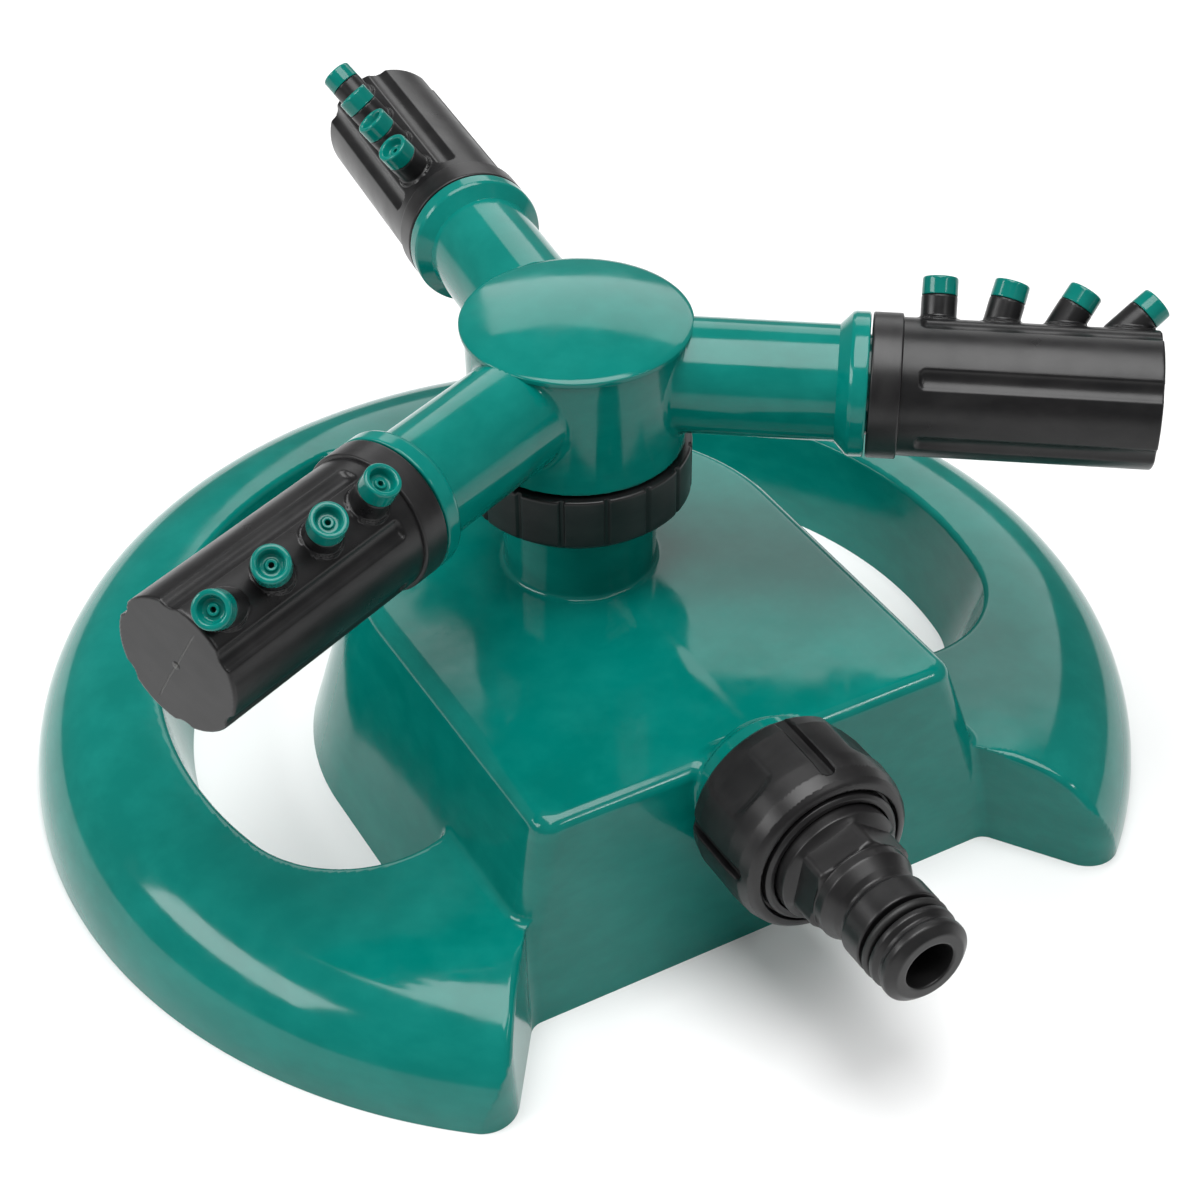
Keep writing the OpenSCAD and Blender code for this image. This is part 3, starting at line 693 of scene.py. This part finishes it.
# a frame on the inlet's axis: local +Z towards the hose, local +Y up
INLET = Matrix(((1, 0, 0, 0), (0, 0, -1, AXIS_Y), (0, 1, 0, INLET_Z * MM), (0, 0, 0, 1)))


def union_nut(p):
    """The nut that holds the nipple, with four grip slots and a wide dent between each two."""
    x, y, z = p[:, 0], p[:, 1], p[:, 2]
    r = np.hypot(x, y)
    swell = np.interp(z, *zip(*UNION_OUTLINE))
    solid = both((r - swell) * 0.98, np.maximum(UNION_IN - z, z - UNION_OUT), 0.7)
    for i in range(UNION_SLOTS):
        a = UNION_TURN + i * 2 * math.pi / UNION_SLOTS
        u, w = x * math.cos(a) + y * math.sin(a), -x * math.sin(a) + y * math.cos(a)
        slot = np.hypot(w, np.maximum(z - (UNION_IN + SLOT_LONG), 0)) - SLOT_R
        slot = both(slot, UNION_R - 1.7 - u, 0.3)
        solid = both(solid, -slot, 0.25)
        a += math.pi / UNION_SLOTS
        u, w = x * math.cos(a) + y * math.sin(a), -x * math.sin(a) + y * math.cos(a)
        dent = np.hypot(u - (UNION_R + DENT_OFF), w) - DENT_R
        dent = both(dent, z - (UNION_IN + DENT_LONG), 2.0)
        solid = both(solid, -dent, 0.4)
    bore = np.minimum(r - UNION_BORE, np.maximum(r - LIP_GROOVE, LIP_BACK - z))
    return both(solid, -bore, 0.3)


v, f = surface(union_nut, UNION_LO, UNION_HI, UNION_CELL * COARSER, 3)
piece("inlet_nut", mesh_of("inlet_nut", v, f, fitting_black, union_nut), "union_nut",
      "inlet_union_nut", INLET)
lip_profile = loop([
    (LIP_IN, LIP_BACK + 1, 0), (LIP_IN, LIP_BACK, 0.2), (LIP_OUT, LIP_BACK, 0.1),
    (LIP_OUT, UNION_OUT + 0.2, 0.3), (13.2, UNION_OUT + 0.7, 0.3), (LIP_IN, UNION_OUT + 0.7, 0.25)])
v, f = turned(lip_profile, circle(120))
piece("inlet_nut_lip", mesh_of("inlet_nut_lip", v, f, fitting_black), "union_nut",
      "inlet_union_nut", INLET)


def hex_shape(angle, r, z):
    """Cuts the nipple's hexagon out of the round between HEX_IN and HEX_OUT."""
    if not HEX_IN - 0.1 < z < HEX_OUT + 0.1 or r < SHANK:
        return np.full(len(angle), r)
    flat = HEX_R * math.cos(math.pi / 6)
    a = (angle - HEX_TURN) % (math.pi / 3) - math.pi / 6
    return np.minimum(np.minimum(flat / np.cos(a), HEX_R - 0.25), r)


nipple_profile = loop([
    (NIPPLE_BORE, 100, 0), (NIPPLE_BORE, FLANGE_AT, 0.2), (13.2, FLANGE_AT, 0.3), (13.2, 90.1, 0.3),
    (NECK, 90.1, 0.15), (NECK, 94.8, 0.5), (11.0, HEX_IN, 0.1), (11.0, HEX_OUT - 0.6, 0),
    (10.5, HEX_OUT, 0), (SHANK, HEX_OUT + 0.2, 0.2), (SHANK, 103.4, 0.8), (8.3, 105.7, 0.9),
    (WAIST, 106.7, 0.7), (WAIST, 107.5, 0.5), (NOSE, 108.7, 0.5), (NOSE, 113.7, 0.35),
    (ORING_BED, 113.8, 0.12), (ORING_BED, 116.6, 0.12), (8.75, 116.7, 0.3), (8.75, 117.8, 0.45),
    (7.9, 118.5, 0.4), (7.9, 119.3, 0.4), (8.6, 119.9, 0.4), (8.6, 121.2, 0.7),
    (6.9, REACH, 0.8), (NIPPLE_BORE, REACH, 0.45)], 0.3)
v, f = turned(nipple_profile, circle(120), hex_shape)
piece("inlet_tail", mesh_of("inlet_tail", v, f, fitting_black), "base",
      "inlet_nipple", INLET)

# ---- camera ------------------------------------------------------------------------

CAM_POS = Vector((-0.185168, -0.344032 + AXIS_Y, 0.341434))
CAM_AZ, CAM_EL, CAM_ROLL = math.radians(-28.865), math.radians(38.579), math.radians(-0.594)
LENS = 73.211
cam_data = bpy.data.cameras.new("camera")
cam_data.lens, cam_data.sensor_width, cam_data.clip_start = LENS, 36.0, 0.01
cam = bpy.data.objects.new("camera", cam_data)
bpy.context.scene.collection.objects.link(cam)
back = Vector((math.sin(CAM_AZ) * math.cos(CAM_EL), -math.cos(CAM_AZ) * math.cos(CAM_EL), math.sin(CAM_EL)))
right = Vector((math.cos(CAM_AZ), math.sin(CAM_AZ), 0))
up = back.cross(right)
across = right * math.cos(CAM_ROLL) + up * math.sin(CAM_ROLL)
upward = -right * math.sin(CAM_ROLL) + up * math.cos(CAM_ROLL)
view = Matrix((across, upward, back)).transposed().to_4x4()
view.translation = CAM_POS
cam.matrix_world = view
bpy.context.scene.camera = cam

# ---- floor and light ---------------------------------------------------------------

FLOOR = 3.0 / MM        # half the floor's width
AIM = Vector((0, 0, 0.04))
FLOOR_WHITES = (0.86, 0.86, 0.86, 1), (0.9, 0.9, 0.9, 1)
floor_nodes = Nodes("floor_paint")
place = floor_nodes.place()
whites = floor_nodes.blend(floor_nodes.noise(place, 60, 3), *FLOOR_WHITES)
floor_nodes.put(floor_nodes.shader, "Base Color", whites)
floor_nodes.put(floor_nodes.shader, "Roughness", 0.7)
corners = [(-FLOOR, -FLOOR, 0), (FLOOR, -FLOOR, 0), (FLOOR, FLOOR, 0), (-FLOOR, FLOOR, 0)]
floor = bpy.data.objects.new("floor", mesh_of("floor", corners, [(0, 1, 2, 3)], floor_nodes.mat))
bpy.context.scene.collection.objects.link(floor)


def softbox(name, at, size, power):
    """A rectangular lamp, in metres and watts, turned towards the sprinkler."""
    d = bpy.data.lights.new(name, "AREA")
    d.shape, d.size, d.size_y, d.energy = "RECTANGLE", size[0], size[1], power
    o = bpy.data.objects.new(name, d)
    bpy.context.scene.collection.objects.link(o)
    o.location = at
    o.rotation_euler = (AIM - Vector(at)).to_track_quat("-Z", "Y").to_euler()


softbox("back_box", (0.75, 0.95, 0.75), (1.1, 0.6), 4.0)
softbox("left_box", (-1.1, 0.25, 0.8), (0.9, 0.4), 8)
softbox("top_box", (0.0, -0.1, 1.3), (1.0, 1.0), 19)
softbox("front_strip", (0.45, -0.75, 0.85), (0.6, 0.05), 1.4)
world = bpy.data.worlds.new("studio")
world.use_nodes = True
world.node_tree.nodes["Background"].inputs[0].default_value = (1, 1, 1, 1)
world.node_tree.nodes["Background"].inputs[1].default_value = 0.2
bpy.context.scene.world = world
bpy.context.scene.view_settings.view_transform = "Standard"
